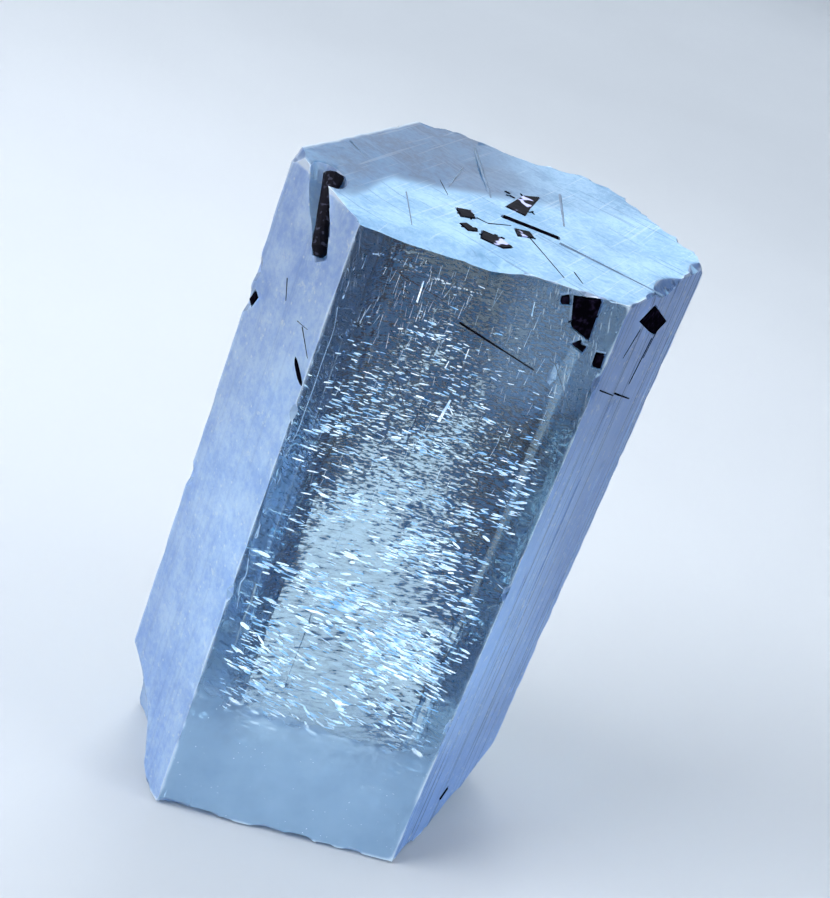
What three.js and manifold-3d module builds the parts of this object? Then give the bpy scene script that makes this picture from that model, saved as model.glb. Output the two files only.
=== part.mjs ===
// A natural aquamarine crystal: one six-sided prism of beryl with a flat top, low shoulders behind it,
// chipped rims and a broken base that it stands on. Small black schorl crystals are set in its faces.
// Millimetres. +Z runs up the prism, the widest clear face looks along -Y, and Z = 0 is the base.
import * as THREE from "three";
import { mergeVertices } from "three/addons/utils/BufferGeometryUtils.js";
import Module from "manifold-3d";

const wasm = await Module();
wasm.setup();

// Driving dimensions. Neighbouring prism faces of beryl turn by 60 degrees, so four widths give all six.
const LENGTH = 44; // base to the flat top
const WIDTH_FRONT = 16.9;
const WIDTH_RIGHT = 14.4;
const WIDTH_BACK_RIGHT = 12.5;
const WIDTH_LEFT = 8.7;
const FACE_TURN = Math.PI / 3;

// Shoulders are bands of the top along the rear faces that climb gently to the rim.
const SHOULDERS = {
  backLeft: { width: 6.2, rise: 0.6 },
  backRight: { width: 4.6, rise: 0.4 },
};

// The front of the top is worn down in a long shallow hollow.
const FRONT_WEAR = { at: 4.6, radius: 34, bite: 0.5 };

// The break at the base: how high each damaged corner is gone, and how far in.
const LEFT_BREAK = { height: 7.2, reach: 3.6 };
const RIGHT_BREAK = { height: 3.7, reach: 7.5 };

const POCKET_GAP = 0.12; // between a schorl crystal and the beryl round it
const PROUD = 0.05; // how far a schorl face stands out of the beryl
const CUT_MARGIN = 6; // cutting blocks run this far past what they cut
const SEED = 20;

const BERYL = new THREE.MeshStandardMaterial({
  color: 0xb4cfe8,
  roughness: 0.12,
  metalness: 0,
  transparent: true,
  opacity: 0.6,
});
const SCHORL = new THREE.MeshStandardMaterial({ color: 0x0d0c12, roughness: 0.3, metalness: 0 });

// The six faces, anticlockwise from the front. Each has its first corner, its direction and its outward normal.
function prismFaces() {
  const widthBackLeft = WIDTH_RIGHT + WIDTH_BACK_RIGHT - WIDTH_LEFT;
  const widthBack = WIDTH_FRONT + WIDTH_RIGHT - widthBackLeft;
  const widths = {
    front: WIDTH_FRONT,
    right: WIDTH_RIGHT,
    backRight: WIDTH_BACK_RIGHT,
    back: widthBack,
    backLeft: widthBackLeft,
    left: WIDTH_LEFT,
  };
  const faces = {};
  const box = new THREE.Box3();
  const corner = new THREE.Vector3();
  Object.entries(widths).forEach(([name, width], turn) => {
    const along = new THREE.Vector3(Math.cos(turn * FACE_TURN), Math.sin(turn * FACE_TURN), 0);
    const outward = new THREE.Vector3(along.y, -along.x, 0);
    faces[name] = { start: corner.clone(), along, outward, width };
    box.expandByPoint(corner);
    corner.addScaledVector(along, width);
  });
  const middle = box.getCenter(new THREE.Vector3());
  Object.values(faces).forEach((face) => face.start.sub(middle));
  return faces;
}

const FACES = prismFaces();
const UP = new THREE.Vector3(0, 0, 1);
const TOP = {
  start: new THREE.Vector3(0, 0, LENGTH),
  along: new THREE.Vector3(1, 0, 0),
  up: new THREE.Vector3(0, 1, 0),
  outward: UP,
};

// A seeded run of numbers from 0 to 1, so the chips fall in the same places each time.
function randomRun(seed) {
  let state = seed;
  return () => {
    state = (state + 0x6d2b79f5) | 0;
    let mixed = Math.imul(state ^ (state >>> 15), 1 | state);
    mixed = (mixed + Math.imul(mixed ^ (mixed >>> 7), 61 | mixed)) ^ mixed;
    return ((mixed ^ (mixed >>> 14)) >>> 0) / 2 ** 32;
  };
}
const random = randomRun(SEED);
const between = (low, high) => low + (high - low) * random();

// A point on a face: distance along it, height up it, and depth below its surface.
function onFace(face, along, height, depth = 0) {
  return face.start
    .clone()
    .addScaledVector(face.along, along)
    .addScaledVector(face.up ?? UP, height)
    .addScaledVector(face.outward, -depth);
}

// A frame on a face: X along it, Y up it, Z out of it.
function faceMatrix(face, point, turnDeg = 0) {
  return new THREE.Matrix4()
    .makeBasis(face.along, face.up ?? UP, face.outward)
    .setPosition(point)
    .multiply(new THREE.Matrix4().makeRotationZ(THREE.MathUtils.degToRad(turnDeg)));
}

function solidOf(geometry, matrix) {
  const bare = geometry.index ? geometry.toNonIndexed() : geometry.clone();
  bare.deleteAttribute("normal");
  bare.deleteAttribute("uv");
  if (matrix) bare.applyMatrix4(matrix);
  const merged = mergeVertices(bare, 1e-5);
  return new wasm.Manifold(
    new wasm.Mesh({
      numProp: 3,
      vertProperties: new Float32Array(merged.attributes.position.array),
      triVerts: new Uint32Array(merged.index.array),
    }),
  );
}

function geometryOf(solid) {
  const mesh = solid.getMesh();
  const geometry = new THREE.BufferGeometry();
  geometry.setAttribute("position", new THREE.BufferAttribute(mesh.vertProperties, 3));
  geometry.setIndex(new THREE.BufferAttribute(mesh.triVerts, 1));
  geometry.computeVertexNormals();
  return geometry;
}

// A block whose lower face is the plane through point with this normal, used to cut away what lies above it.
function blockAbove(point, normal) {
  const size = LENGTH + 2 * CUT_MARGIN;
  const block = new THREE.BoxGeometry(size, size, size).translate(0, 0, size / 2);
  const turn = new THREE.Quaternion().setFromUnitVectors(UP, normal.clone().normalize());
  return solidOf(block, new THREE.Matrix4().compose(point, turn, new THREE.Vector3(1, 1, 1)));
}

// A hollow scooped out of the beryl as glassy stone breaks: a ball that bites into the point from one side.
function scoop(point, direction, radius, bite, detail = 2) {
  const centre = point.clone().addScaledVector(direction.clone().normalize(), radius - bite);
  const ball = new THREE.IcosahedronGeometry(radius, detail);
  ball.rotateX(between(0, Math.PI)).rotateY(between(0, Math.PI));
  return solidOf(ball, new THREE.Matrix4().setPosition(centre));
}

// The whole prism, tall enough to hold the shoulder.
function prism() {
  const outline = new THREE.Shape(
    Object.values(FACES).map((face) => new THREE.Vector2(face.start.x, face.start.y)),
  );
  return solidOf(new THREE.ExtrudeGeometry(outline, { depth: LENGTH + CUT_MARGIN, bevelEnabled: false }));
}

// What lies above the flat top and every shoulder's slope.
function aboveTop() {
  return Object.entries(SHOULDERS).reduce((cut, [name, { width, rise }]) => {
    const face = FACES[name];
    const slope = UP.clone().multiplyScalar(width).addScaledVector(face.outward, -rise);
    return cut.intersect(blockAbove(onFace(face, 0, LENGTH, width), slope));
  }, blockAbove(onFace(TOP, 0, 0), UP));
}

// The worn front of the top, and the rounded corners at its rear and right.
function topWear() {
  const { at, radius, bite } = FRONT_WEAR;
  const forward = new THREE.Vector3(0, -0.3, 1);
  const corner = (face, height) => onFace(face, 0, LENGTH + height);
  return [
    scoop(onFace(FACES.front, at, LENGTH), forward, radius, bite, 14),
    scoop(onFace(FACES.front, 7.7, LENGTH), forward, 7, 0.55, 6),
    scoop(corner(FACES.backLeft, 0.5), new THREE.Vector3(-0.4, 1.1, 0.9), 6, 0.95, 5),
    scoop(corner(FACES.back, 0.3), new THREE.Vector3(0.6, 1, 1), 5, 0.55, 5),
    scoop(corner(FACES.backRight, 0.3), new THREE.Vector3(1.1, -0.1, 0.9), 4.5, 0.6, 5),
    scoop(corner(FACES.left, 0.3), new THREE.Vector3(-1, -0.3, 0.7), 3.2, 0.4, 4),
    scoop(onFace(FACES.right, 7.1, LENGTH), new THREE.Vector3(0.8, -0.5, 1), 6, 0.6, 5),
  ];
}

// The damaged corners of the base, each a hollow break with a smaller one beside it.
function baseBreaks() {
  const left = onFace(FACES.left, 0, 0);
  const right = onFace(FACES.backRight, 0, 0);
  const leftOut = new THREE.Vector3(left.x, left.y, -LEFT_BREAK.reach * 1.4);
  const rightOut = new THREE.Vector3(right.x * 0.55, right.y, -RIGHT_BREAK.reach * 1.6);
  return [
    scoop(left.clone().setZ(LEFT_BREAK.height * 0.3), leftOut, 11, LEFT_BREAK.reach * 0.75, 3),
    scoop(onFace(FACES.left, 3.2, 0), new THREE.Vector3(-1.2, -0.7, -0.9), 6, 1.3, 3),
    scoop(right.clone().setZ(0), rightOut, 16, RIGHT_BREAK.height * 0.82, 4),
    scoop(onFace(FACES.right, 9.2, 0), new THREE.Vector3(0.9, -0.5, -1.1), 5, 1.2, 3),
  ];
}

// Small chips along one rim, at the top (side 1) or the base (side -1).
function rimChips(face, side, spacing, bites, radii) {
  const cuts = [];
  const height = side > 0 ? LENGTH : 0;
  for (let at = between(0.2, spacing); at < face.width; at += between(0.55, 1.45) * spacing) {
    const tilt = THREE.MathUtils.degToRad(between(25, 65));
    const direction = face.outward
      .clone()
      .multiplyScalar(Math.cos(tilt))
      .addScaledVector(UP, side * Math.sin(tilt));
    cuts.push(scoop(onFace(face, at, height), direction, between(...radii), between(...bites)));
  }
  return cuts;
}

// Nicks up one upright edge, which is the first corner of the face.
function edgeNicks(face, heights, bite) {
  const out = new THREE.Vector3(face.start.x, face.start.y, 0);
  return heights.map((height) => scoop(onFace(face, 0, height), out, between(0.9, 2.2), bite));
}

// Growth ledges: long shallow strips that run up a face, each a little lower than the face round it.
const LEDGES = {
  right: [
    { at: 12.6, width: 0.9, from: 9, to: 39, depth: 0.1 },
    { at: 10.2, width: 0.6, from: 8, to: 30, depth: 0.08 },
    { at: 5.6, width: 0.8, from: 16, to: 36, depth: 0.06 },
    { at: 2.9, width: 0.4, from: 6, to: 23, depth: 0.06 },
  ],
  backRight: [
    { at: 2.6, width: 1.6, from: 5, to: 40, depth: 0.14 },
    { at: 8.3, width: 2.4, from: 12, to: 36, depth: 0.1 },
  ],
  back: [
    { at: 3.4, width: 1.2, from: 8, to: 42, depth: 0.12 },
    { at: 9.1, width: 2.2, from: 3, to: 30, depth: 0.14 },
  ],
  backLeft: [
    { at: 4.2, width: 2.8, from: 10, to: 41, depth: 0.14 },
    { at: 12.6, width: 1.4, from: 6, to: 34, depth: 0.1 },
  ],
};

function growthLedges() {
  return Object.entries(LEDGES).flatMap(([name, strips]) =>
    strips.map(({ at, width, from, to, depth }) => {
      const strip = new THREE.BoxGeometry(width, to - from, 2 * depth);
      return solidOf(strip, faceMatrix(FACES[name], onFace(FACES[name], at, (from + to) / 2)));
    }),
  );
}

// The schorl rod lies in an open channel from the top rim down the left face.
const ROD_PATH = [
  onFace(FACES.left, 2.6, LENGTH + 0.15, 1.55),
  onFace(FACES.left, 3.7, LENGTH - 1.1, 0.95),
  onFace(FACES.left, 4.9, LENGTH - 2.4, 0.4),
  onFace(FACES.left, 5.75, LENGTH - 3.6, 0.2),
];
const ROD_RADIUS = 0.6;
const ROD_SIDES = 9;
const ROD_STEPS = 10;

function tubeAlong(points, radius, grow) {
  const section = new THREE.Shape();
  for (let i = 0; i < ROD_SIDES; i++) {
    const angle = (2 * Math.PI * i) / ROD_SIDES;
    const ripple = i % 3 ? 1 : 0.86; // schorl is three-sided with rounded corners
    const reach = radius * ripple + grow;
    if (i) section.lineTo(reach * Math.cos(angle), reach * Math.sin(angle));
    else section.moveTo(reach, 0);
  }
  const ends = points.map((point) => point.clone());
  const first = ends[0].clone().sub(ends[1]).normalize();
  const last = ends.at(-1).clone().sub(ends.at(-2)).normalize();
  ends[0].addScaledVector(first, grow);
  ends.at(-1).addScaledVector(last, grow);
  const extrudePath = new THREE.CatmullRomCurve3(ends);
  return new THREE.ExtrudeGeometry(section, { extrudePath, steps: ROD_STEPS, bevelEnabled: false });
}

// The channel round the rod: it widens upwards and opens on the face and the top, more to the front side.
function rodChannel() {
  const open = FACES.left.outward.clone().multiplyScalar(0.62).addScaledVector(FACES.left.along, 0.5);
  const cuts = [solidOf(tubeAlong(ROD_PATH, ROD_RADIUS, POCKET_GAP))];
  const widest = 1.3;
  const narrowest = 0.72;
  const last = ROD_PATH.length - 1;
  for (let i = 0; i < last; i++) {
    const upper = THREE.MathUtils.lerp(widest, narrowest, i / last);
    const lower = THREE.MathUtils.lerp(widest, narrowest, (i + 1) / last);
    const from = ROD_PATH[i].clone().addScaledVector(open, upper);
    const to = ROD_PATH[i + 1].clone().addScaledVector(open, lower);
    const run = from.clone().sub(to);
    if (i === 0) from.addScaledVector(run.clone().normalize(), widest);
    const length = from.distanceTo(to) + lower;
    const cone = new THREE.CylinderGeometry(upper, lower, length, 14);
    const turn = new THREE.Quaternion().setFromUnitVectors(new THREE.Vector3(0, 1, 0), run.normalize());
    const middle = from.clone().add(to).multiplyScalar(0.5);
    cuts.push(solidOf(cone, new THREE.Matrix4().compose(middle, turn, new THREE.Vector3(1, 1, 1))));
  }
  return cuts;
}

// The other schorl crystals: flat-sided grains let into a face. Outlines are in the face's own plane, from the
// grain's middle; at and up place it on the face, and depth is how far it goes in.
const GRAINS = {
  schorl_block: {
    face: FACES.front, at: 14.5, up: LENGTH - 1.45, turn: 0, depth: 1.5,
    outline: [[-0.46, -0.88], [0.81, -1.35], [0.62, 1.2], [-0.97, 0.95]],
  },
  schorl_block_side: {
    face: FACES.front, at: 13.1, up: LENGTH - 0.85, turn: 20, depth: 0.4,
    outline: [[-0.28, -0.2], [0.22, -0.26], [0.2, 0.26], [-0.22, 0.2]],
  },
  schorl_block_foot: {
    face: FACES.front, at: 14.95, up: LENGTH - 3.3, turn: -18, depth: 0.5,
    outline: [[-0.42, -0.2], [0.4, -0.26], [0.34, 0.16], [0.02, 0.06], [-0.12, 0.26]],
  },
  schorl_corner_block: {
    face: FACES.right, at: 6.9, up: LENGTH - 2.4, turn: 0, depth: 1.3,
    outline: [[-3.3, 0.55], [1.4, -1.35], [3.1, -0.75], [-1.3, 1.25]],
  },
  schorl_edge_grain: {
    face: FACES.front, at: 16.4, up: LENGTH - 3.9, turn: -4, depth: 0.4,
    outline: [[-0.18, -0.44], [0.3, -0.4], [0.16, 0.46], [-0.3, 0.38]],
  },
  schorl_needle: {
    face: TOP, at: 1.45, up: -2.85, turn: -11, depth: 0.4,
    outline: [[-1.9, -0.2], [1.9, -0.26], [1.85, 0.16], [-1.85, 0.24]],
  },
  schorl_flake_left: {
    face: TOP, at: -3.0, up: -4.25, turn: 18, depth: 0.3,
    outline: [[-0.55, -0.7], [0.45, -0.55], [0.6, 0.65], [-0.4, 0.6]],
  },
  schorl_flake_near_left: {
    face: TOP, at: -2.95, up: -6.7, turn: -10, depth: 0.3,
    outline: [[-0.55, 0.1], [0.05, -0.6], [0.6, -0.1], [-0.2, 0.55]],
  },
  schorl_flake_near: {
    face: TOP, at: -1.35, up: -7.5, turn: 20, depth: 0.35,
    outline: [[-0.95, -0.2], [0.1, -1.1], [0.95, -0.7], [0.6, 0.5], [-0.3, 1.15]],
  },
  schorl_flake_middle: {
    face: TOP, at: 0.75, up: -4.55, turn: 30, depth: 0.3,
    outline: [[-0.7, -0.5], [0.5, -0.6], [0.75, 0.3], [-0.2, 0.55]],
  },
  schorl_flake_far: {
    face: TOP, at: 1.15, up: 1.2, turn: 0, depth: 0.35,
    outline: [[-1.15, -1.5], [0.1, -2.1], [0.55, -0.3], [1.5, 2.7], [0.3, 1.9]],
  },
  schorl_base_speck: {
    face: FACES.right, at: 6.1, up: 2.9, turn: 35, depth: 0.4,
    outline: [[-0.5, -0.16], [0.5, -0.12], [0.45, 0.18], [-0.45, 0.14]],
  },
  schorl_side_speck: {
    face: FACES.left, at: 0.75, up: 34.6, turn: 70, depth: 0.35,
    outline: [[-0.42, -0.2], [0.36, -0.24], [0.42, 0.2], [-0.34, 0.24]],
  },
};

// A grain's geometry, in its face's frame: the outline let in by depth and standing a hair proud.
function grainGeometry({ outline, depth }, grow) {
  const shape = new THREE.Shape(outline.map(([x, y]) => new THREE.Vector2(x, y)));
  const geometry = new THREE.ExtrudeGeometry(shape, { depth: depth + PROUD, bevelEnabled: false });
  geometry.translate(0, 0, -depth);
  if (!grow) return geometry;
  geometry.computeBoundingBox();
  const size = geometry.boundingBox.getSize(new THREE.Vector3());
  const middle = geometry.boundingBox.getCenter(new THREE.Vector3());
  const stretch = (length) => (length + 2 * grow) / length;
  return geometry
    .translate(-middle.x, -middle.y, -middle.z)
    .scale(stretch(size.x), stretch(size.y), stretch(size.z))
    .translate(middle.x, middle.y, middle.z);
}

function grainMatrix({ face, at, up, turn }) {
  return faceMatrix(face, onFace(face, at, up), turn);
}

// The beryl: the prism with its top, breaks, chips, ledges and pockets cut out of it.
function aquamarineGeometry() {
  const { front, right, backRight, back, backLeft, left } = FACES;
  const pockets = Object.values(GRAINS).map((grain) =>
    solidOf(grainGeometry(grain, POCKET_GAP), grainMatrix(grain)),
  );
  const topChips = [front, right, backRight, back].flatMap((face) =>
    rimChips(face, 1, 2.1, [0.06, 0.26], [1.1, 3.4]),
  );
  const baseChips = [front, right, backRight, back, backLeft, left].flatMap((face) =>
    rimChips(face, -1, 2.4, [0.12, 0.5], [1.4, 4.2]),
  );
  const cuts = [
    aboveTop(),
    ...topWear(),
    ...baseBreaks(),
    ...topChips,
    ...baseChips,
    ...edgeNicks(left, [36.4, 34.2, 21], 0.3),
    ...edgeNicks(front, [31, 17.5], 0.18),
    ...edgeNicks(right, [38.6, 23, 12], 0.2),
    ...edgeNicks(backRight, [29, 16], 0.14),
    ...edgeNicks(back, [33, 11], 0.3),
    ...growthLedges(),
    ...rodChannel(),
    ...pockets,
  ];
  return geometryOf(cuts.reduce((body, cut) => body.subtract(cut), prism()));
}

function named(name, geometry, material) {
  const mesh = new THREE.Mesh(geometry, material);
  mesh.name = name;
  return mesh;
}

const crystal = new THREE.Group();
crystal.add(named("aquamarine_crystal", aquamarineGeometry(), BERYL));
crystal.add(named("schorl_rod", tubeAlong(ROD_PATH, ROD_RADIUS, 0), SCHORL));
for (const [name, grain] of Object.entries(GRAINS)) {
  const mesh = named(name, grainGeometry(grain, 0), SCHORL);
  grainMatrix(grain).decompose(mesh.position, mesh.quaternion, mesh.scale);
  crystal.add(mesh);
}

export default crystal;
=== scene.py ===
"""An aquamarine crystal: clear to milky beryl, frosted and full of flecks, with black schorl set in it."""
import math
import random

import bmesh
import bpy
from mathutils import Euler, Matrix, Vector, noise


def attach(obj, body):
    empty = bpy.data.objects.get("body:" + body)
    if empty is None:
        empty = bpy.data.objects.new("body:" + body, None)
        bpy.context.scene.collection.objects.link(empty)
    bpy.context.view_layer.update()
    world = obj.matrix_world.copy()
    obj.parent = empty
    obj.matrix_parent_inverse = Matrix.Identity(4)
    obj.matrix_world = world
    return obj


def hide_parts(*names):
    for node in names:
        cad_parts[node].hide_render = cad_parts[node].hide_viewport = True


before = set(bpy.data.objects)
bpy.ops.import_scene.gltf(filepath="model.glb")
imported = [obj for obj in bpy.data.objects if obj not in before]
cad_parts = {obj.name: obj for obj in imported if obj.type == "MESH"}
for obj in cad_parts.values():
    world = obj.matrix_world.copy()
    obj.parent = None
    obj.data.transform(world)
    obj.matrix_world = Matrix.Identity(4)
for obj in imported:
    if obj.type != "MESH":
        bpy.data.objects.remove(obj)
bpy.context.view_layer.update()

# Lengths are in millimetres, except in the studio, which is in metres. Named angles are in degrees.

MM = 0.001
LENGTH = 44.0  # base to the flat top

# The six prism faces: which way each looks, about +Z, and how far it is from the axis.
FACES = {
    "front": (-90, 11.65),
    "right": (-30, 11.91),
    "back_right": (30, 12.73),
    "back": (90, 11.65),
    "back_left": (150, 10.26),
    "left": (210, 14.38),
}
FRONT_Y = -FACES["front"][1]
# The shoulders of the top: how wide each is and how far it climbs to the rim.
SHOULDERS = {"back_left": (6.2, 0.6), "back_right": (4.6, 0.4)}
SHOULDER_SIDE = Vector((-0.405, 0.914, 0))  # the way from the flat of the top to its grey rear

# How much of each part of the crystal's outside is frosted. The pale frosted skin is partly a real etched
# finish and partly painted sheen, standing for bright surroundings reflected in the side faces and the top.
FROST = {
    "left": 0.86,
    "right": 0.85,
    "back_left": 0.9,
    "back": 0.95,
    "back_right": 0.85,
    "base": 0.85,
    "chip": 0.6,
    "groove": 0.9,
}
BERYL_IOR = 1.577
SCHORL_IOR = 1.62
EDGE_WIDTH = 0.17  # of the pale line along the edges, a painted highlight that also stands for worn edges

# The middle of the channel that holds the rod, how far it reaches, and how deep its wall starts.
GROOVE = Vector((-11.4, -6.6, 42.6))
GROOVE_REACH = 3.4
GROOVE_DEPTH = 0.12

# What tells a facet of an end or a face from a chip: the cosine of its tilt, and how deep it lies.
END_TILT, FACE_TILT = 0.8, 0.94
FACE_DEPTH = 0.5

# The crystal's grid, how deep its faces wave, how its edges are nicked and its rear edges rounded, and how
# much of each growth ledge on a face is filled.
GRID_STEP = 0.9
GRID_SPANS = {(1, 0, 0): (-14, 14), (0, 1, 0): (-11.4, 11.4), (0, 0, 1): (0.4, 44.4)}
WAVE_DEPTH = 0.02
NICK_DEPTH, NICK_WIDTH = 0.16, 0.9
ROUND_DEPTH, ROUND_WIDTH = 0.4, 1.5
LEDGE_DEPTHS, LEDGE_FILL = (0.005, 0.3), 0.7
LEDGE_INSET, LEDGE_END = 0.6, 2.0  # ledges lie this far from the next face and from the ends
SHARP_ANGLE = 24

# A ray through the front face bends, so what lies deeper shows further left and higher,
# by these shares of its depth.
BEND_X = 0.113
BEND_Z = 0.28

# Where flecks may show on the front face, across and up it.
FLECKS_ACROSS = (-9.2, 6.2)
FLECKS_UP = (4.5, 43.0)
# Bright drifts of flecks: where each shows on the front face, and how far it reaches across and up.
DRIFTS = [
    (-7.2, 18.6, 1.6, 1.5),
    (-4.6, 18.3, 2.4, 1.2),
    (-1.0, 16.9, 2.6, 1.5),
    (4.0, 15.8, 1.7, 1.6),
    (1.6, 12.7, 2.6, 0.9),
    (-6.8, 25.2, 1.5, 0.7),
    (0.6, 24.6, 2.4, 0.8),
    (2.8, 27.5, 1.6, 0.7),
    (-6.8, 31.2, 1.5, 0.9),
    (-2.2, 31.0, 1.6, 0.7),
    (3.3, 31.5, 1.5, 0.7),
    (-3.4, 38.9, 1.4, 0.5),
]

# Fine tubes: the loose ones, and those in a cluster near the top left of the front face.
LOOSE_TUBES = 90
CLUSTER_TUBES = 80
# A healed crack near the top, a line of specks: where its ends show on the front face.
CRACK = [(-8.6, 42.4), (-1.6, 41.9)]
CRACK_SPECKS = 70
BRIGHT_TUBE_DEPTH = 0.3

# The rod's middle line on the left face: how far along the face, how far up, how deep, and half its width.
ROD_PATH = [
    (2.34, 40.12, 0.3, 0.12),
    (2.22, 40.32, 0.2, 0.36),
    (2.0, 40.75, 0.14, 0.46),
    (1.62, 41.25, 0.2, 0.5),
    (1.3, 41.7, 0.34, 0.46),
    (0.8, 42.2, 0.55, 0.44),
    (0.2, 42.9, 0.85, 0.46),
    (-0.35, 43.5, 1.15, 0.5),
    (-0.95, 44.1, 1.5, 0.66),
]
ROD_SIDES = 12
ROD_UNEVENNESS = 0.12
SHARDS_EACH = 10  # round each flake and block
SHARD_DEPTH = 0.06
HAIR_SINK = 0.01  # below the top

# The camera: how far it is turned round the crystal, raised and rolled, what it looks at, across the view
# and up the prism, and how far off it stands.
CAMERA_TURN, CAMERA_RISE, CAMERA_ROLL = -10.884, 24.969, 21.208
CAMERA_ACROSS, CAMERA_UP = 0.214, 25.497
CAMERA_DISTANCE = 123.805
SENSOR = 36.0
FOCAL_SHARE = 1800.5 / 898  # the focal length, in heights of the picture

rng = random.Random(5)


def outward(name):
    """The direction a prism face looks in."""
    angle = math.radians(FACES[name][0])
    return Vector((math.cos(angle), math.sin(angle), 0))


def depth_inside(point):
    """How far a point is below the nearest prism face or end."""
    sides = [reach - outward(name).dot(point) for name, (_, reach) in FACES.items()]
    return min(sides + [LENGTH - point.z, point.z])


def top_rise(x, y):
    """How far the top stands above its flat middle, on the shoulders along its rear faces."""
    rise = 0
    for name, (width, height) in SHOULDERS.items():
        inset = FACES[name][1] - outward(name).dot(Vector((x, y, 0)))
        rise = max(rise, height * (1 - inset / width))
    return rise


def smooth(low, high, x):
    """0 below low, 1 above high, eased between."""
    t = min(max((x - low) / (high - low), 0), 1)
    return t * t * (3 - 2 * t)


# Shader maths


class Value:
    """A number in a material's nodes. Arithmetic on it adds Math nodes."""

    def __init__(self, board, socket):
        self.board = board
        self.socket = socket

    def math(self, operation, *others):
        sockets = {i + 1: other for i, other in enumerate(others)}
        node = self.board.node("ShaderNodeMath", {"operation": operation}, {0: self, **sockets})
        return Value(self.board, node.outputs[0])

    def flipped(self, operation, other):
        node = self.board.node("ShaderNodeMath", {"operation": operation}, {0: other, 1: self})
        return Value(self.board, node.outputs[0])

    def __add__(self, other):
        return self.math("ADD", other)

    def __sub__(self, other):
        return self.math("SUBTRACT", other)

    def __mul__(self, other):
        return self.math("MULTIPLY", other)

    def __truediv__(self, other):
        return self.math("DIVIDE", other)

    def __neg__(self):
        return self.math("MULTIPLY", -1.0)

    def __rsub__(self, other):
        return self.flipped("SUBTRACT", other)

    def __rtruediv__(self, other):
        return self.flipped("DIVIDE", other)

    __radd__ = __add__
    __rmul__ = __mul__

    def clamp(self):
        return self.math("MINIMUM", 1.0).math("MAXIMUM", 0.0)

    def ramp(self, low, high):
        """0 at low, 1 at high, eased between."""
        settings = {"interpolation_type": "SMOOTHSTEP"}
        node = self.board.node("ShaderNodeMapRange", settings, {0: self, 1: low, 2: high})
        return Value(self.board, node.outputs[0])


class Board:
    """The nodes of one material, worked in millimetres on Object coordinates."""

    def __init__(self, name):
        self.material = bpy.data.materials.new(name)
        self.material.use_nodes = True
        self.tree = self.material.node_tree
        self.tree.nodes.clear()
        place = self.node("ShaderNodeTexCoord").outputs["Object"]
        self.place = self.vector("SCALE", place, Scale=1 / MM)
        parts = self.node("ShaderNodeSeparateXYZ", inputs={0: self.place})
        self.x, self.y, self.z = (Value(self, socket) for socket in parts.outputs)

    def node(self, kind, settings=None, inputs=None):
        """A node of this kind, with its settings set first and then its sockets' values or links."""
        node = self.tree.nodes.new(kind)
        for key, value in (settings or {}).items():
            setattr(node, key, value)
        for key, value in (inputs or {}).items():
            socket = node.inputs[key]
            if isinstance(value, Value):
                value = value.socket
            if isinstance(value, bpy.types.NodeSocket):
                self.tree.links.new(value, socket)
            else:
                socket.default_value = value
        return node

    def vector(self, operation, *values, **named):
        inputs = {**dict(enumerate(values)), **named}
        return self.node("ShaderNodeVectorMath", {"operation": operation}, inputs).outputs["Vector"]

    def stretched(self, x, y, z, turn=0.0, axis="Z_AXIS"):
        """The place, turned about an axis by these degrees and then scaled along each axis."""
        turned = self.node(
            "ShaderNodeVectorRotate",
            {"rotation_type": axis},
            {"Vector": self.place, "Angle": math.radians(turn)},
        )
        return self.vector("MULTIPLY", turned.outputs[0], (x, y, z))

    def mark(self, name):
        """A number kept on each facet of the piece."""
        return Value(self, self.node("ShaderNodeAttribute", {"attribute_name": name}).outputs["Fac"])

    def mix(self, factor, low, high):
        """A surface between two surfaces."""
        return self.node("ShaderNodeMixShader", inputs={0: factor, 1: low, 2: high}).outputs[0]

    def noise(self, scale, detail=2.0, rough=0.5, place=None):
        inputs = {"Vector": place or self.place, "Scale": scale, "Detail": detail, "Roughness": rough}
        return Value(self, self.node("ShaderNodeTexNoise", inputs=inputs).outputs[0])

    def cells(self, scale):
        """How far the place is from the nearest of many scattered points."""
        node = self.node("ShaderNodeTexVoronoi", inputs={"Vector": self.place, "Scale": scale})
        return Value(self, node.outputs["Distance"])

    def along(self, direction):
        """How far the place is along a direction."""
        inputs = {0: self.place, 1: direction}
        node = self.node("ShaderNodeVectorMath", {"operation": "DOT_PRODUCT"}, inputs)
        return Value(self, node.outputs["Value"])

    def blend(self, factor, low, high):
        """A colour between two colours."""
        node = self.node("ShaderNodeMix", {"data_type": "RGBA"}, {0: factor, 6: low, 7: high})
        return node.outputs[2]

    def bump(self, height, strength, depth):
        inputs = {"Strength": strength, "Distance": depth * MM, "Height": height}
        return self.node("ShaderNodeBump", inputs=inputs).outputs[0]

    def principled(self, **sockets):
        inputs = {key.replace("_", " "): value for key, value in sockets.items()}
        return self.node("ShaderNodeBsdfPrincipled", inputs=inputs).outputs[0]

    def output(self, surface, volume=None):
        inputs = {"Surface": surface}
        if volume:
            inputs["Volume"] = volume
        self.node("ShaderNodeOutputMaterial", inputs=inputs)
        return self.material


# Colours


def rgb(red, green, blue):
    """A shader colour from picture values of 0 to 255."""
    levels = [level / 255 for level in (red, green, blue)]
    return tuple(l / 12.92 if l <= 0.04045 else ((l + 0.055) / 1.055) ** 2.4 for l in levels) + (1.0,)


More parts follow.
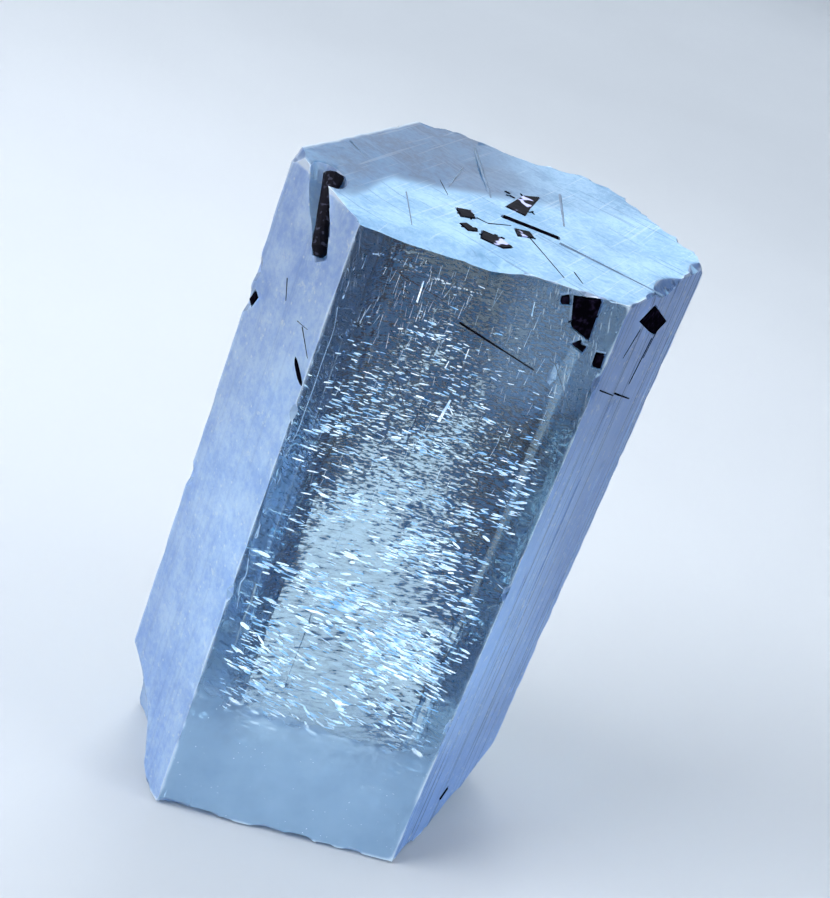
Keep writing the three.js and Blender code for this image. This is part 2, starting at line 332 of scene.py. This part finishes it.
WHITE = (1, 1, 1, 1)
BERYL_TINT, BERYL_DENSITY = (0.08, 0.54, 0.76, 1), 28.0
# pale frost of the side faces, partly painted sheen
SIDE_BLUE, SIDE_PALE = rgb(148, 182, 242), rgb(206, 228, 255)
RIBBED_BLUE, STRIA_BLUE = rgb(112, 168, 255), rgb(66, 92, 150)
# pale worn specks and smudges, and the painted highlight along the edges
WORN_AND_HIGHLIGHT_WHITE = rgb(240, 248, 255)
CHANNEL_GREY = rgb(72, 92, 122)
# pale frost of the top, partly painted sheen
TOP_BLUE, TOP_PALE = rgb(120, 168, 206), rgb(172, 210, 240)
SLATE_DARK, SLATE_PALE = rgb(4, 56, 100), rgb(34, 98, 148)
# the white is for pale scratches and for the painted highlight along the top's edges
SCRATCH_BLUE, SCRATCH_AND_HIGHLIGHT_WHITE = rgb(84, 122, 160), rgb(232, 246, 254)
# the dark end of the etched colour is painted shade, for dark surroundings seen through the crystal
ETCHED_PAINTED_SHADE, ETCHED_PALE = rgb(0, 14, 34), rgb(42, 116, 160)
MILK_BLUE, MILK_PALE = rgb(128, 162, 194), rgb(156, 190, 220)
# the white is for dust and wear and for the painted highlight along the front face's edges
DUST_AND_HIGHLIGHT_WHITE = rgb(226, 242, 252)
SCHORL_BLACK, SCHORL_WORN = rgb(5, 4, 9), rgb(34, 28, 46)
BROKEN_BLACK, BROKEN_GLINT = rgb(8, 7, 16), rgb(186, 190, 232)
# fleck and tube colours, dim to bright; the bright end also glows as a painted glint
PALE_FLECK = rgb(110, 150, 184), rgb(240, 252, 255)
BRIGHT_FLECK = rgb(110, 156, 190), rgb(252, 255, 255)
PALE_TUBE = rgb(110, 150, 184), rgb(236, 248, 255)
GREY_NEEDLE = rgb(60, 84, 108), rgb(94, 118, 144)
FLOOR_DARK, FLOOR_PALE = rgb(178, 182, 186), rgb(186, 190, 194)


# Materials


def edge_highlight_and_wear(b):
    """1 on the edges of the prism, fading within half a millimetre, and dim on the rear edges: a painted
    highlight along the edges, which also stands for their wear.
    """
    near = [(b.along(outward(name)) - reach) / EDGE_WIDTH for name, (_, reach) in FACES.items()]
    near += [(b.z - LENGTH) / EDGE_WIDTH, -b.z / EDGE_WIDTH]
    meeting = (sum(gap.math("EXPONENT").clamp() for gap in near) - 1.0).ramp(0.1, 0.9)
    rear = (b.y - b.z.ramp(42.0, 44.0) * 20.0).ramp(-7.0, -1.0)
    return meeting * (1.0 - rear * 0.8)


def beryl_skin(b, frost, colour, rough, glow=0.0, shine=0.3, **relief):
    """Clear beryl where the frost is 0, a rough pale skin that some light glows through where it is 1."""
    clear = b.principled(
        Base_Color=WHITE,
        Roughness=0.02,
        IOR=BERYL_IOR,
        Transmission_Weight=1.0,
        **relief,
    )
    skin = b.principled(
        Base_Color=colour,
        Roughness=rough,
        IOR=BERYL_IOR,
        Specular_IOR_Level=shine,
        Transmission_Weight=glow,
        **relief,
    )
    return b.mix(frost.clamp(), clear, skin)


def side_skin(b, edge):
    """Frosted prism faces and breaks, with fine specks and striae; the pale frost colour is partly painted
    sheen. The right face is ribbed.
    """
    patches = b.noise(0.4, 3, 0.6)
    grit = b.noise(2.2, 3, 0.75)
    specks = 1.0 - b.cells(1.3).ramp(0.06, 0.17)
    smudges = b.noise(1.2, 4, 0.75).ramp(0.58, 0.72)
    striae = b.noise(1.0, 2, 0.6, place=b.stretched(3.0, 3.0, 0.04))
    shade = (patches * 0.5 + grit * 0.5).ramp(0.34, 0.66)
    ribbed = b.along(outward("right")).ramp(11.0, 11.8)
    colour = b.blend(shade, SIDE_BLUE, SIDE_PALE)
    colour = b.blend(ribbed * 0.6, colour, RIBBED_BLUE)
    colour = b.blend(striae.ramp(0.54, 0.66) * (0.12 + ribbed * 0.7), colour, STRIA_BLUE)
    # pale worn specks and smudges, and a painted highlight along the edges
    colour = b.blend((edge * 0.9 + specks * 0.8 + smudges * 0.85).clamp(), colour, WORN_AND_HIGHLIGHT_WHITE)
    # greyer in the channel that holds the rod
    colour = b.blend(b.mark("in_rod_channel") * 0.4, colour, CHANNEL_GREY)
    frost = b.mark("frost") * (0.9 + 0.2 * patches) + edge * 0.5
    relief = b.bump(striae * 0.4 + grit * 0.7, 0.3, 0.06)
    return beryl_skin(b, frost, colour, 0.45 + patches * 0.2, glow=0.7, Normal=relief)


def top_skin(b, edge):
    """The bright flat top, greyer on its rear shoulder and scratched both ways; its pale frost colour is
    partly painted sheen.
    """
    patches = b.noise(0.3, 3, 0.6)
    grit = b.noise(2.6, 3, 0.75)
    scratches = b.noise(1.0, 2, 0.5, place=b.stretched(0.12, 3.6, 1.0, 38)).ramp(0.6, 0.68)
    cross = b.noise(1.0, 2, 0.5, place=b.stretched(0.1, 4.4, 1.0, -62)).ramp(0.61, 0.68)
    left_end = (-b.x).ramp(7.5, 10.5)
    rear = b.along(SHOULDER_SIDE) + left_end * 4.0 + patches * 1.6 + grit * 0.8
    shoulder = rear.ramp(1.6, 3.3) * (1.0 - b.x.ramp(-2.5, 6.0) * 0.8)
    sheen = (patches * 0.55 + grit * 0.45).ramp(0.34, 0.66)
    flat = b.blend(sheen, TOP_BLUE, TOP_PALE)
    slate = b.blend(sheen, SLATE_DARK, SLATE_PALE)
    colour = b.blend(shoulder * 0.92, flat, slate)
    colour = b.blend(scratches * 0.55, colour, SCRATCH_BLUE)
    # pale cross scratches, and a painted highlight along the edges
    colour = b.blend((edge * 0.8 + cross * (0.24 - shoulder * 0.14)).clamp(), colour, SCRATCH_AND_HIGHLIGHT_WHITE)
    frost = 0.88 - shoulder * 0.2 + edge * 0.1
    relief = b.bump(grit, 0.2, 0.04)
    return beryl_skin(b, frost, colour, 0.5 + patches * 0.2, glow=0.25, shine=0.1, Normal=relief)


def back_skin(b, edge):
    """Rear faces etched in fine cross ripples, which show as dark and bright streaks through the front. The
    dark navy of the etched parts is painted shade, standing for dark surroundings seen through the crystal.
    """
    fine = b.noise(1.0, 2, 0.6, place=b.stretched(2.3, 2.3, 7.5))
    coarse = b.noise(1.0, 3, 0.6, place=b.stretched(0.95, 0.95, 3.6, 9.0, "Y_AXIS"))
    drift = b.noise(0.2, 2, 0.5)
    low = 1.0 - b.z.ramp(8.0, 28.0)
    field = fine + (coarse - fine) * (0.25 + 0.6 * low) + (drift - 0.5) * 0.38
    sides = (1.0 - b.x.ramp(-5.3, -2.8)) * 0.08 + b.x.ramp(3.4, 8.0) * 0.12
    calm = (b.x * 0.9 + b.z).ramp(31.5, 35.5)
    etched = (field + 0.09 - low * 0.19 + sides).ramp(0.44, 0.57).math("MAXIMUM", calm * 0.85)
    haze = (coarse * 0.7 + drift * 0.3).ramp(0.4, 0.62) * 0.4
    shade = ((fine - 0.5) * 2.4 + (coarse - 0.5) * 1.2 + drift).ramp(0.32, 0.72)
    # painted shade: the etched parts run to dark navy, for dark surroundings seen through the crystal
    colour = b.blend(shade, ETCHED_PAINTED_SHADE, ETCHED_PALE)
    spread = 1.0 - (FACES["back"][1] - b.y).ramp(0.2, 3.0) * 0.85
    frost = b.mark("frost") * etched.math("MAXIMUM", haze) * spread + edge * 0.2
    return beryl_skin(b, frost, colour, 0.5, shine=0.05)


def window_skin(b, edge):
    """The clear front face: dusty, worn and hazy near the top, and milky near the base."""
    cloud = b.noise(0.35, 3, 0.6)
    dust = (1.0 - b.cells(2.2).ramp(0.04, 0.11)) * cloud.ramp(0.42, 0.6)
    rubs = b.noise(1.0, 2, 0.5, place=b.stretched(8.0, 1.0, 0.9, 12.0, "Y_AXIS"))
    wear = rubs.ramp(0.62, 0.7) * b.z.ramp(26.0, 38.0)
    milk = 1.0 - (b.z + cloud * 6.0).ramp(7.5, 17.0)
    haze = (b.x + cloud * 3.0).ramp(0.0, 4.0) * (b.z - b.x * 0.5 + cloud * 3.0).ramp(33.0, 38.0)
    colour = b.blend(cloud, MILK_BLUE, MILK_PALE)
    # dust and wear, and a painted highlight along the edges
    colour = b.blend((edge * 0.8 + dust + wear * 0.8).clamp(), colour, DUST_AND_HIGHLIGHT_WHITE)
    frost = milk * 0.8 + haze * 0.3 + dust * 0.5 + wear * 0.16 + edge * 0.5 + 0.02
    return beryl_skin(b, frost, colour, 0.4)


def beryl_finish():
    """Clear blue beryl whose faces are frosted, etched and worn each in their own way."""
    b = Board("beryl")
    # painted highlight along the edges, which also stands for their wear
    edge = edge_highlight_and_wear(b)
    surface = b.mix(b.mark("front"), side_skin(b, edge), window_skin(b, edge))
    surface = b.mix(b.mark("back"), surface, back_skin(b, edge))
    surface = b.mix(b.mark("top"), surface, top_skin(b, edge))
    tint = {"Color": BERYL_TINT, "Density": BERYL_DENSITY}
    return b.output(surface, b.node("ShaderNodeVolumeAbsorption", inputs=tint).outputs[0])


def schorl_finish():
    """Dull black schorl, finely ribbed, with a violet cast where it is worn."""
    b = Board("schorl")
    ribs = b.noise(1.0, 3, 0.6, place=b.stretched(9.0, 9.0, 0.5, 20))
    wear = b.noise(2.4, 4, 0.6)
    surface = b.principled(
        Base_Color=b.blend(wear.ramp(0.5, 0.75), SCHORL_BLACK, SCHORL_WORN),
        Roughness=0.6 + wear * 0.3,
        IOR=SCHORL_IOR,
        Specular_IOR_Level=0.0,
        Normal=b.bump(ribs + wear * 0.5, 0.5, 0.08),
    )
    return b.output(surface)


def broken_schorl_finish(name, fineness, amount):
    """Broken schorl, black with pale lavender glints of this fineness and amount, painted into its colour.
    """
    b = Board(name)
    wear = b.noise(1.5, 3, 0.6)
    glints = b.noise(fineness, 1, 0.4)
    surface = b.principled(
        # painted glints: pale lavender spots in the black
        Base_Color=b.blend(glints.ramp(0.6, 0.66) * amount, BROKEN_BLACK, BROKEN_GLINT),
        Roughness=0.6 + wear * 0.3,
        IOR=SCHORL_IOR,
        Specular_IOR_Level=0.06,
        Normal=b.bump(wear, 0.4, 0.08),
    )
    return b.output(surface)


def fleck_finish(name, dim, bright, glow):
    """Small things inside the beryl, from dim to bright, that glint by this much: the glow is emission, a
    painted glint, though they are no lamp.
    """
    b = Board(name)
    glint = b.noise(0.7, 2, 0.6)
    colour = b.blend(glint.ramp(0.36, 0.68), dim, bright)
    surface = b.principled(
        Base_Color=colour,
        Roughness=0.2 + glint * 0.3,
        IOR=1.4,
        # painted glint: the flecks glow, though they are no lamp
        Emission_Color=colour,
        Emission_Strength=glow,
    )
    b.material.cycles.emission_sampling = "NONE"
    return b.output(surface)


def floor_finish():
    """A plain pale floor."""
    b = Board("pale_floor")
    colour = b.blend(b.noise(0.02, 3, 0.5), FLOOR_DARK, FLOOR_PALE)
    return b.output(b.principled(Base_Color=colour, Roughness=0.8))


# The beryl


def piece(name, form, finish):
    """A finished piece in the row frame. Its bmesh is in millimetres."""
    bmesh.ops.scale(form, vec=(MM, MM, MM), verts=form.verts)
    mesh = bpy.data.meshes.new(name)
    form.to_mesh(mesh)
    form.free()
    mesh.materials.append(finish)
    obj = bpy.data.objects.new(name, mesh)
    bpy.context.scene.collection.objects.link(obj)
    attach(obj, "root")
    return obj


def zone(normal, at):
    """The part of the crystal's outside that a facet belongs to."""
    if (at - GROOVE).length < GROOVE_REACH and depth_inside(at) > GROOVE_DEPTH:
        return "groove"
    if normal.z > END_TILT:
        return "top"
    if normal.z < -END_TILT:
        return "base"
    name = max(FACES, key=lambda name: outward(name).dot(normal))
    depth = FACES[name][1] - outward(name).dot(at)
    flat = outward(name).dot(normal) > FACE_TILT and depth < FACE_DEPTH
    return name if flat else "chip"


def wear_move(vert):
    """How far wear moves a point of the crystal's skin. The base stays flat."""
    p = vert.co
    gaps = sorted([(reach - outward(name).dot(p), name) for name, (_, reach) in FACES.items()])
    (gap, name), (next_gap, next_name) = gaps[:2]
    end_gap = min(LENGTH - p.z, p.z)
    on_ledge = LEDGE_DEPTHS[0] < gap < LEDGE_DEPTHS[1]
    if on_ledge and next_gap > LEDGE_INSET and end_gap > LEDGE_END:
        return outward(name) * gap * LEDGE_FILL
    at_edge = 1 - smooth(0.0, NICK_WIDTH, min(next_gap, max(end_gap, gap)))
    wave = 0.5 + 0.5 * noise.fractal(p * 0.35, 1.0, 2.0, 2)
    nick = max(0.0, noise.fractal(p * 0.9 + Vector((7, 3, 1)), 1.0, 2.0, 3))
    depth = WAVE_DEPTH * wave + NICK_DEPTH * at_edge * nick
    if name.startswith("back") and next_name.startswith("back"):
        depth += ROUND_DEPTH * (1 - smooth(0.0, ROUND_WIDTH, next_gap))
    return vert.normal * -depth * smooth(0.0, 0.05, p.z)


def crystal_piece(finish):
    """The beryl, cut into a fine grid so that its edges can be nicked and its faces made less than flat."""
    form = bmesh.new()
    form.from_mesh(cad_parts["aquamarine_crystal"].data)
    bmesh.ops.remove_doubles(form, verts=form.verts, dist=2e-6)
    bmesh.ops.scale(form, vec=(1 / MM,) * 3, verts=form.verts)
    for normal, (low, high) in GRID_SPANS.items():
        for i in range(int((high - low) / GRID_STEP) + 1):
            everything = form.verts[:] + form.edges[:] + form.faces[:]
            cut = Vector(normal) * (low + i * GRID_STEP)
            bmesh.ops.bisect_plane(form, geom=everything, dist=1e-4, plane_co=cut, plane_no=normal)
    form.normal_update()
    zones = [zone(face.normal, face.calc_center_median()) for face in form.faces]
    moves = {vert: wear_move(vert) for vert in form.verts}
    for vert, move in moves.items():
        vert.co += move
    obj = piece("beryl_prism", form, finish)
    marks = {
        "frost": [FROST.get(part, 0) for part in zones],
        "top": [part == "top" for part in zones],
        "front": [part == "front" for part in zones],
        "back": [part in ("back_left", "back", "back_right") for part in zones],
        "in_rod_channel": [part == "groove" for part in zones],
    }
    for name, values in marks.items():
        mark = obj.data.attributes.new(name, "FLOAT", "FACE")
        mark.data.foreach_set("value", [float(value) for value in values])
    obj.data.shade_smooth()
    obj.data.set_sharp_from_angle(angle=math.radians(SHARP_ANGLE))
    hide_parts("aquamarine_crystal")


# Flecks and tubes inside the beryl


def pointing(start, end):
    """The place halfway from start to end, with Z turned to run from the one to the other."""
    turn = (end - start).to_track_quat("Z", "Y").to_matrix().to_4x4()
    return Matrix.Translation((start + end) / 2) @ turn


def add_rod(form, start, end, width, sides=6):
    """A straight needle from start to end, thinner at its far end."""
    sizes = {"radius1": width / 2, "radius2": width * 0.32, "depth": (end - start).length}
    bmesh.ops.create_cone(form, cap_ends=True, segments=sides, matrix=pointing(start, end), **sizes)


def add_lens(form, start, end, width):
    """A sliver from start to end, round across and pointed at both ends."""
    spot = pointing(start, end) @ Matrix.Diagonal((width, width, (end - start).length, 1))
    bmesh.ops.create_icosphere(form, subdivisions=2, radius=0.5, matrix=spot)


def add_spindle(form, place, size, turn):
    """A small pointed fleck."""
    spot = Matrix.Translation(place) @ turn.to_matrix().to_4x4() @ Matrix.Diagonal((*size, 1))
    bmesh.ops.create_icosphere(form, subdivisions=1, radius=0.5, matrix=spot)


def behind_window(across, up, depth):
    """The point that shows at this place on the front face, this deep behind it."""
    return Vector((across + BEND_X * depth, FRONT_Y + depth, up - BEND_Z * depth))


def fleck_share(across, up):
    """How thick the flecks are behind a place on the front face."""
    body = smooth(4.5, 11.0, up) * (1 - smooth(34.0, 42.0, up) * 0.8) * smooth(-9.3, -7.8, across)
    clear_corner = smooth(-1.0, 3.5, across) * smooth(31.5, 36.0, up)
    return body * (1 - 0.9 * clear_corner)


def drift_share(across, up):
    """How far a place on the front face is in one of the bright drifts, from 0 to 1."""
    reaches = [((across - x) / wide) ** 2 + ((up - z) / tall) ** 2 for x, z, wide, tall in DRIFTS]
    return math.exp(-min(reaches))


def flecks(name, count, finish, depths, lengths, widths, drifting):
    """Fine flecks drawn out across the prism, some of them in the bright drifts."""
    form = bmesh.new()
    made = 0
    while made < count:
        across = rng.uniform(*FLECKS_ACROSS)
        up = rng.uniform(*FLECKS_UP)
        wisps = noise.noise(Vector((across * 0.22, up * 0.45, 3.0)))
        wisps += 0.6 * noise.noise(Vector((across * 0.6, up * 2.2, 9.0)))
        share = drifting * drift_share(across, up) + (1 - drifting) * fleck_share(across, up)
        if rng.random() > share * (0.5 + 1.4 * wisps):
            continue
        at = behind_window(across, up, rng.uniform(*depths))
        length = rng.uniform(*lengths) * (1.25 - 0.6 * smooth(16, 40, up))
        if depth_inside(at) < 0.4 + length * 0.55:
            continue
        size = (length, length * rng.uniform(0.2, 0.5), rng.uniform(*widths))
        lean = 0.22 * (1 - smooth(10, 26, up))
        turn = Euler((rng.gauss(0, 0.12), lean + rng.gauss(0, 0.09), rng.gauss(0, 0.4)))
        add_spindle(form, at, size, turn)
        made += 1
    piece(name, form, finish)


def growth_tubes(finish):
    """Fine pale tubes that run up the prism, and the specks of a healed crack."""
    form = bmesh.new()
    for i in range(LOOSE_TUBES + CLUSTER_TUBES):
        if i < LOOSE_TUBES:
            across, up = rng.uniform(-8.0, 5.0), rng.uniform(24, 42)
        else:
            across, up = rng.gauss(-5.0, 1.7), rng.gauss(40.0, 1.7)
        start = behind_window(across, up, rng.uniform(0.4, 6))
        lean = Vector((rng.gauss(0, 0.12), rng.gauss(0, 0.06), 1)) * rng.uniform(0.2, 1.3)
        if min(depth_inside(start), depth_inside(start + lean)) > 0.3:
            add_rod(form, start, start + lean, rng.uniform(0.015, 0.04), sides=5)
    (left, left_up), (right, right_up) = CRACK
    for _ in range(CRACK_SPECKS):
        along = rng.random()
        across = left + (right - left) * along
        wander = math.sin(along * 7) * 0.1 + rng.gauss(0, 0.05)
        up = left_up + (right_up - left_up) * along + wander
        length = rng.uniform(0.05, 0.16)
        at = behind_window(across, up, 0.5)
        add_spindle(form, at, (length, length, length * 0.7), Euler((0, rng.uniform(-0.5, 0.5), 0)))
    piece("growth_tubes", form, finish)


def bright_tubes(finish):
    """The few bright tubes near the front."""
    form = bmesh.new()
    tubes = [
        ((-1.28, 33.23), (-1.07, 34.83), 0.2),
        ((-1.14, 34.53), (-0.59, 33.93), 0.1),
        ((-5.11, 40.25), (-5.17, 41.63), 0.11),
        ((-1.16, 37.68), (-1.16, 38.37), 0.09),
        ((-2.1, 36.74), (-2.03, 37.25), 0.09),
        ((1.66, 41.57), (1.51, 42.47), 0.08),
    ]
    for *ends, width in tubes:
        add_rod(form, *(behind_window(*end, BRIGHT_TUBE_DEPTH) for end in ends), width)
    piece("bright_tubes", form, finish)


# Schorl


def dress_schorl(black, flakes):
    """The schorl crystals keep their solids and get their finish."""
    for name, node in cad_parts.items():
        if name.startswith("schorl"):
            node.data.materials.clear()
            node.data.materials.append(flakes if "flake" in name else black)


def ragged_rod(finish):
    """The rod in its channel, with a rounded foot, a flared head and an uneven skin."""
    form = bmesh.new()
    along = outward("left").cross(Vector((0, 0, -1)))
    middles = []
    for run, up, depth, _ in ROD_PATH:
        middles.append(outward("left") * (FACES["left"][1] - depth) + along * run + Vector((0, 0, up)))
    last = len(middles) - 1
    rings = []
    for i, (middle, (*_, reach)) in enumerate(zip(middles, ROD_PATH)):
        heading = middles[min(i + 1, last)] - middles[max(i - 1, 0)]
        spot = Matrix.Translation(middle) @ heading.to_track_quat("Z", "Y").to_matrix().to_4x4()
        sizes = {"segments": ROD_SIDES, "radius": reach}
        ring = bmesh.ops.create_circle(form, cap_ends=i in (0, last), matrix=spot, **sizes)
        rings.append(list({edge for vert in ring["verts"] for edge in vert.link_edges}))
    for lower, upper in zip(rings, rings[1:]):
        bmesh.ops.bridge_loops(form, edges=lower + upper)
    bmesh.ops.recalc_face_normals(form, faces=form.faces)
    for vert in form.verts:
        vert.co += vert.normal * ROD_UNEVENNESS * noise.fractal(vert.co * 1.6, 1.0, 2.0, 2)
    obj = piece("ragged_rod", form, finish)
    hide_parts("schorl_rod")


def schorl_hairs(finish):
    """Dark hair-thin needles inside the beryl and level with its faces."""
    form = bmesh.new()
    behind = [
        ((-2.28, 39.81, 0.03), (3.02, 38.31, 0.03), 0.15),
        ((-6.6, 41.6, 0.7), (-3.6, 40.9, 1.2), 0.07),
        ((4.1, 39.2, 1.0), (6.2, 36.4, 0.9), 0.06),
        ((3.6, 33.8, 0.8), (5.9, 33.0, 0.7), 0.07),
        ((-4.6, 35.1, 1.4), (-3.4, 33.2, 1.0), 0.06),
    ]
    for *ends, width in behind:
        add_rod(form, *(behind_window(*end) for end in ends), width)
    on_top = [
        ((1.19, -4.99), (2.91, -10.3), 0.1),
        ((-2.29, -4.42), (-1.55, -4.81), 0.1),
        ((-1.55, -4.81), (0.05, -3.77), 0.1),
        ((-6.61, 3.92), (-5.06, 2.45), 0.09),
        ((-4.68, 1.93), (-4.06, -1.74), 0.07),
        ((3.74, -8.75), (4.12, -10.3), 0.09),
    ]
    for *ends, width in on_top:
        add_rod(form, *(Vector((*end, LENGTH - HAIR_SINK)) for end in ends), width)
    on_right = [
        ((7.63, -10.62, 37.9), (9.45, -7.47, 36.57), 0.1),
        ((9.5, -7.38, 36.71), (11.64, -3.68, 35.18), 0.14),
        ((9.26, -7.8, 41.44), (8.69, -8.78, 39.66), 0.06),
        ((11.16, -4.5, 39.95), (10.81, -5.12, 36.71), 0.07),
        ((11.51, -3.91, 41.28), (11.19, -4.44, 38.45), 0.06),
    ]
    on_left = [
        ((-10.88, -9.93, 35.87), (-10.10, -11.28, 34.57), 0.06),
        ((-12.45, -7.22, 37.54), (-12.13, -7.77, 36.29), 0.06),
        ((-11.22, -9.35, 35.89), (-10.58, -10.45, 36.0), 0.05),
    ]
    for *ends, width in on_right + on_left:
        add_rod(form, *(Vector(end) for end in ends), width)
    add_lens(form, Vector((-10.71, -10.23, 33.97)), Vector((-9.9, -11.52, 32.8)), 0.34)
    piece("schorl_hairs", form, finish)


def schorl_shards(finish):
    """Chips of schorl that make the flakes in the top and the block in the front face ragged."""
    form = bmesh.new()
    lying, standing = Matrix.Identity(3), Matrix.Rotation(math.pi / 2, 3, "X")
    for name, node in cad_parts.items():
        low, high = (Vector(node.bound_box[i]) / MM for i in (0, 6))
        if "flake" in name:
            low.z = high.z = LENGTH
        elif name == "schorl_block":
            low.y = high.y = FRONT_Y
        else:
            continue
        half = (high - low) / 2
        for _ in range(SHARDS_EACH):
            angle = rng.uniform(0, 2 * math.pi)
            u, v = math.cos(angle), math.sin(angle)
            at = (low + high) / 2 + Vector((u * half.x, v * half.y, v * half.z)) * rng.uniform(0.6, 0.95)
            turn = (lying if half.y else standing) @ Matrix.Rotation(rng.uniform(0, math.pi), 3, "Z")
            size = (rng.uniform(0.15, 0.45), rng.uniform(0.08, 0.22), SHARD_DEPTH, 1)
            spot = Matrix.Translation(at) @ turn.to_4x4() @ Matrix.Diagonal(size)
            bmesh.ops.create_cube(form, size=1, matrix=spot)
    piece("schorl_shards", form, finish)


def grey_needles(finish):
    """Broad dull needles that lie just under the top and show as grey streaks."""
    form = bmesh.new()
    streaks = [
        ((-1.66, 9.51), (-1.0, 0.53), 0.3),
        ((3.28, -4.22), (9.75, -7.72), 0.34),
        ((4.36, 6.07), (3.97, -0.49), 0.26),
        ((-10.75, 0.97), (-9.6, -0.82), 0.2),
        ((-2.75, 4.69), (-3.88, 0.11), 0.14),
        ((-6.89, -3.82), (-6.66, -9.56), 0.12),
    ]
    for *ends, width in streaks:
        sunk = LENGTH - width * 0.25
        add_rod(form, *(Vector((*end, sunk + top_rise(*end))) for end in ends), width)
    piece("grey_needles", form, finish)


# The studio, in metres


def studio_floor():
    """A pale floor just under the base."""
    form = bmesh.new()
    bmesh.ops.create_grid(form, x_segments=2, y_segments=2, size=3.0)
    mesh = bpy.data.meshes.new("floor")
    form.to_mesh(mesh)
    form.free()
    mesh.materials.append(floor_finish())
    floor = bpy.data.objects.new("floor", mesh)
    floor.location.z = -0.0002
    bpy.context.scene.collection.objects.link(floor)


def soft_room():
    """A dim blue room round the crystal."""
    world = bpy.data.worlds.new("soft_room")
    world.use_nodes = True
    sky = world.node_tree.nodes["Background"].inputs
    sky["Color"].default_value = (0.13, 0.20, 0.32, 1)
    sky["Strength"].default_value = 0.8
    bpy.context.scene.world = world


def area_light(name, place, aim, size, power, colour, spread=180):
    """A flat soft light at a place, turned to its aim."""
    data = bpy.data.lights.new(name, "AREA")
    data.spread = math.radians(spread)
    data.shape = "RECTANGLE"
    data.size, data.size_y = size
    data.energy = power
    data.color = colour
    light = bpy.data.objects.new(name, data)
    light.location = place
    light.rotation_euler = (Vector(aim) - Vector(place)).to_track_quat("-Z", "Y").to_euler()
    bpy.context.scene.collection.objects.link(light)


def lights():
    """A broad light overhead, softer ones at the sides and behind, and a small glow on the floor."""
    middle = (0, 0, 0.022)
    area_light("overhead_softbox", (0.1, 0.15, 1.0), (0.05, 0.1, 0), (1.5, 1.5), 8.0, (0.98, 0.99, 1.0))
    area_light("left_softbox", (-0.34, -0.10, 0.22), middle, (0.30, 0.30), 2.7, (0.93, 0.96, 1.0))
    area_light("right_softbox", (0.42, -0.12, 0.20), middle, (0.26, 0.3), 0.8, (0.88, 0.93, 1.0))
    area_light("floor_glow", (0.0, 0.12, 0.20), (0.0, 0.06, 0), (0.12, 0.10), 0.05, (0.94, 0.98, 1.0), 90)
    area_light("rear_softbox", (0.08, 0.46, 0.25), middle, (0.5, 0.2), 0.7, (0.92, 0.97, 1.0))


def camera():
    """A camera that looks down on the front face, rolled so that the crystal leans."""
    turn, rise, roll = (math.radians(angle) for angle in (CAMERA_TURN, CAMERA_RISE, CAMERA_ROLL))
    across = Vector((math.cos(turn), math.sin(turn), 0))
    level_back = Vector((math.sin(turn), -math.cos(turn), 0))
    back = level_back * math.cos(rise) + Vector((0, 0, math.sin(rise)))
    level = Matrix((across, back.cross(across), back)).transposed()
    aim = across * CAMERA_ACROSS + Vector((0, 0, CAMERA_UP))
    place = (aim + back * CAMERA_DISTANCE) * MM
    data = bpy.data.cameras.new("camera")
    data.sensor_width = SENSOR
    data.lens = SENSOR * FOCAL_SHARE
    data.clip_start = 0.005
    obj = bpy.data.objects.new("camera", data)
    obj.matrix_world = Matrix.Translation(place) @ (level @ Matrix.Rotation(roll, 3, "Z")).to_4x4()
    bpy.context.scene.collection.objects.link(obj)
    bpy.context.scene.camera = obj


def light_paths():
    """How far light is followed, and how the picture is cleaned and shown."""
    scene = bpy.context.scene
    scene.cycles.max_bounces = 6
    scene.cycles.transmission_bounces = 6
    scene.cycles.glossy_bounces = 4
    scene.cycles.diffuse_bounces = 2
    scene.cycles.use_adaptive_sampling = True
    scene.cycles.adaptive_threshold = 0.08
    scene.cycles.adaptive_min_samples = 14
    scene.cycles.use_denoising = True
    scene.view_settings.view_transform = "Standard"


studio_floor()
soft_room()
lights()
camera()
light_paths()

black_schorl = schorl_finish()
dress_schorl(black_schorl, broken_schorl_finish("schorl_flakes", fineness=1.1, amount=1.0))
ragged_rod(broken_schorl_finish("schorl_rod", fineness=3.4, amount=0.05))
crystal_piece(beryl_finish())
flecks(
    "inner_flecks",
    900,
    fleck_finish("pale_flecks", *PALE_FLECK, glow=0.6),
    depths=(0.6, 18.0),
    lengths=(0.15, 0.5),
    widths=(0.03, 0.07),
    drifting=0.1,
)
bright_beryl = fleck_finish("bright_flecks", *BRIGHT_FLECK, glow=1.2)
flecks(
    "bright_flecks",
    1700,
    bright_beryl,
    depths=(3.0, 20.0),
    lengths=(0.3, 1.1),
    widths=(0.04, 0.1),
    drifting=0.7,
)
growth_tubes(fleck_finish("pale_tubes", *PALE_TUBE, glow=0.5))
bright_tubes(bright_beryl)
schorl_hairs(black_schorl)
schorl_shards(black_schorl)
grey_needles(fleck_finish("grey_schorl", *GREY_NEEDLE, glow=0.0))
